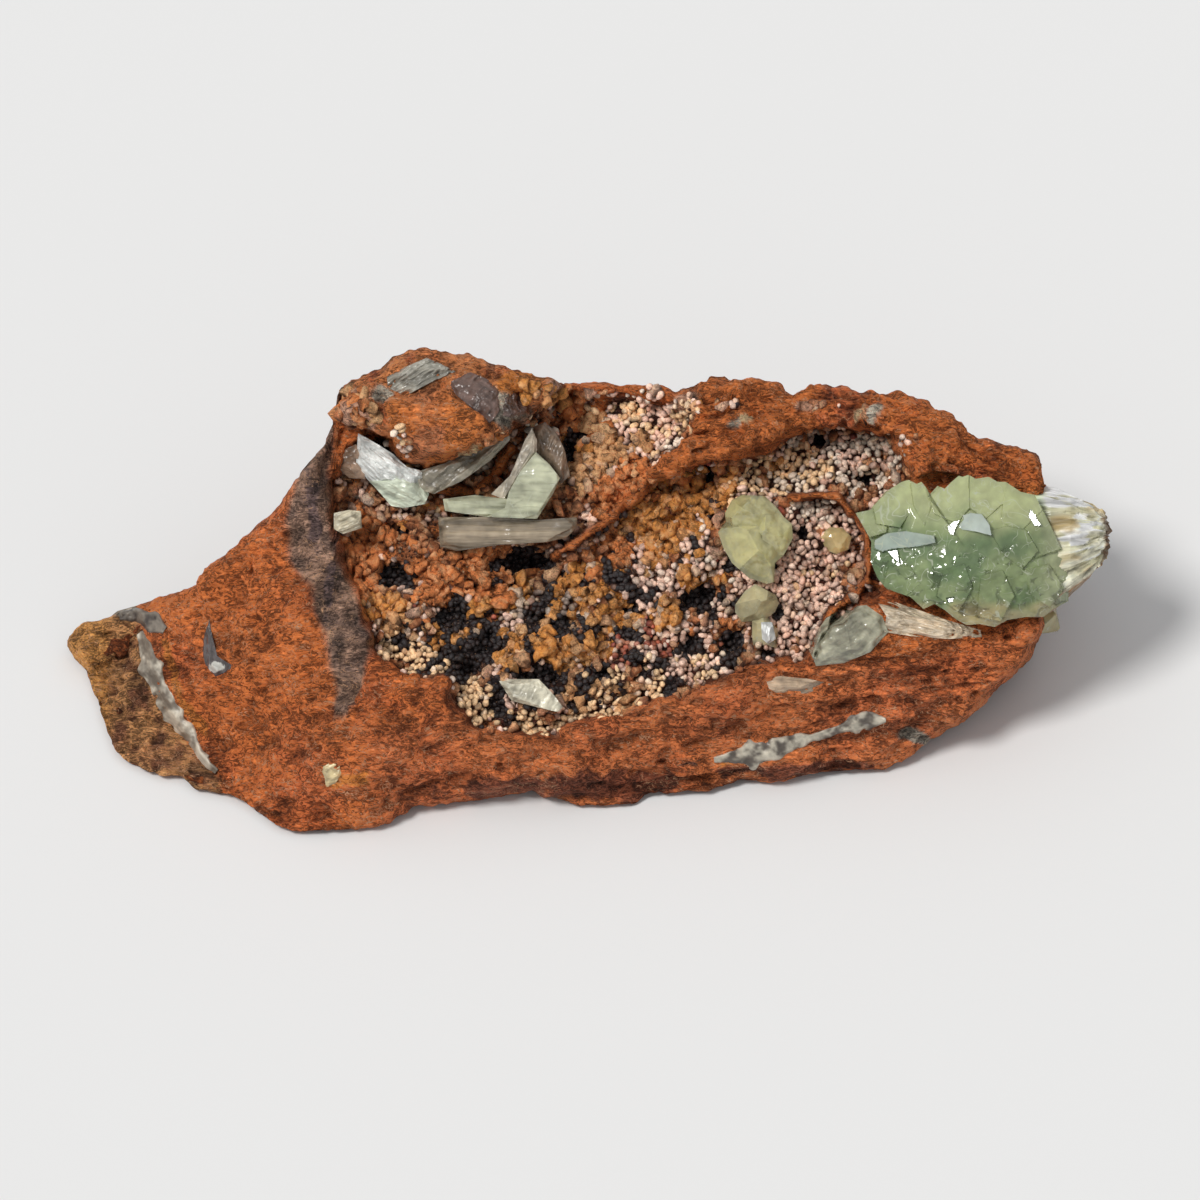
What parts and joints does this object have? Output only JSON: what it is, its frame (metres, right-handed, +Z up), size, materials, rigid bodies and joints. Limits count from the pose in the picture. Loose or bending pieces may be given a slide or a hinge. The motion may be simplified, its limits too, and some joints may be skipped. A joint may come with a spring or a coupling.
{
  "type": "adamite on matrix",
  "caption": "Mineral specimen: a rust-brown limonite rock with an open druse-lined cavity that holds pale green adamite crystals, for display lying on its flat underside.",
  "frame": {"origin": "centre of the specimen's footprint, on the surface it rests on", "axes": "+X along its length towards the adamite cluster, +Y from its show face to its back, +Z up"},
  "size_m": [0.1034, 0.046, 0.0342],
  "materials": {
    "limonite": "rough earthy iron oxide",
    "green_adamite": "vitreous pale green crystal",
    "yellow_adamite": "vitreous yellow-green crystal",
    "green_tabular": "pearly pale green tabular crystal",
    "white_cleavage": "silky white cleavage",
    "grey_crystal": "satin grey translucent crystal",
    "smoky_crystal": "dark grey crystal with a dull shine",
    "calcite": "rough grey-white vein",
    "cream_chip": "matt cream mineral"
  },
  "bodies": {
    "root": {"matrix": "limonite", "adamite_cluster": "green_adamite", "adamite_crystal": "yellow_adamite", "adamite_twin": "yellow_adamite", "adamite_chip": "yellow_adamite", "adamite_nub": "yellow_adamite", "tabular_crystal": "green_tabular", "white_cleavage": "white_cleavage", "short_blade": "white_cleavage", "pale_rhomb": "white_cleavage", "front_shard": "white_cleavage", "fibrous_splinter": "white_cleavage", "bar_crystal": "grey_crystal", "glassy_crystal": "grey_crystal", "crown_fibres": "grey_crystal", "lobe_fibres": "grey_crystal", "smoky_crystal": "smoky_crystal", "grey_inclusion": "smoky_crystal", "left_seam": "calcite", "front_seam": "calcite", "cream_chip": "cream_chip"}
  },
  "joints": []
}
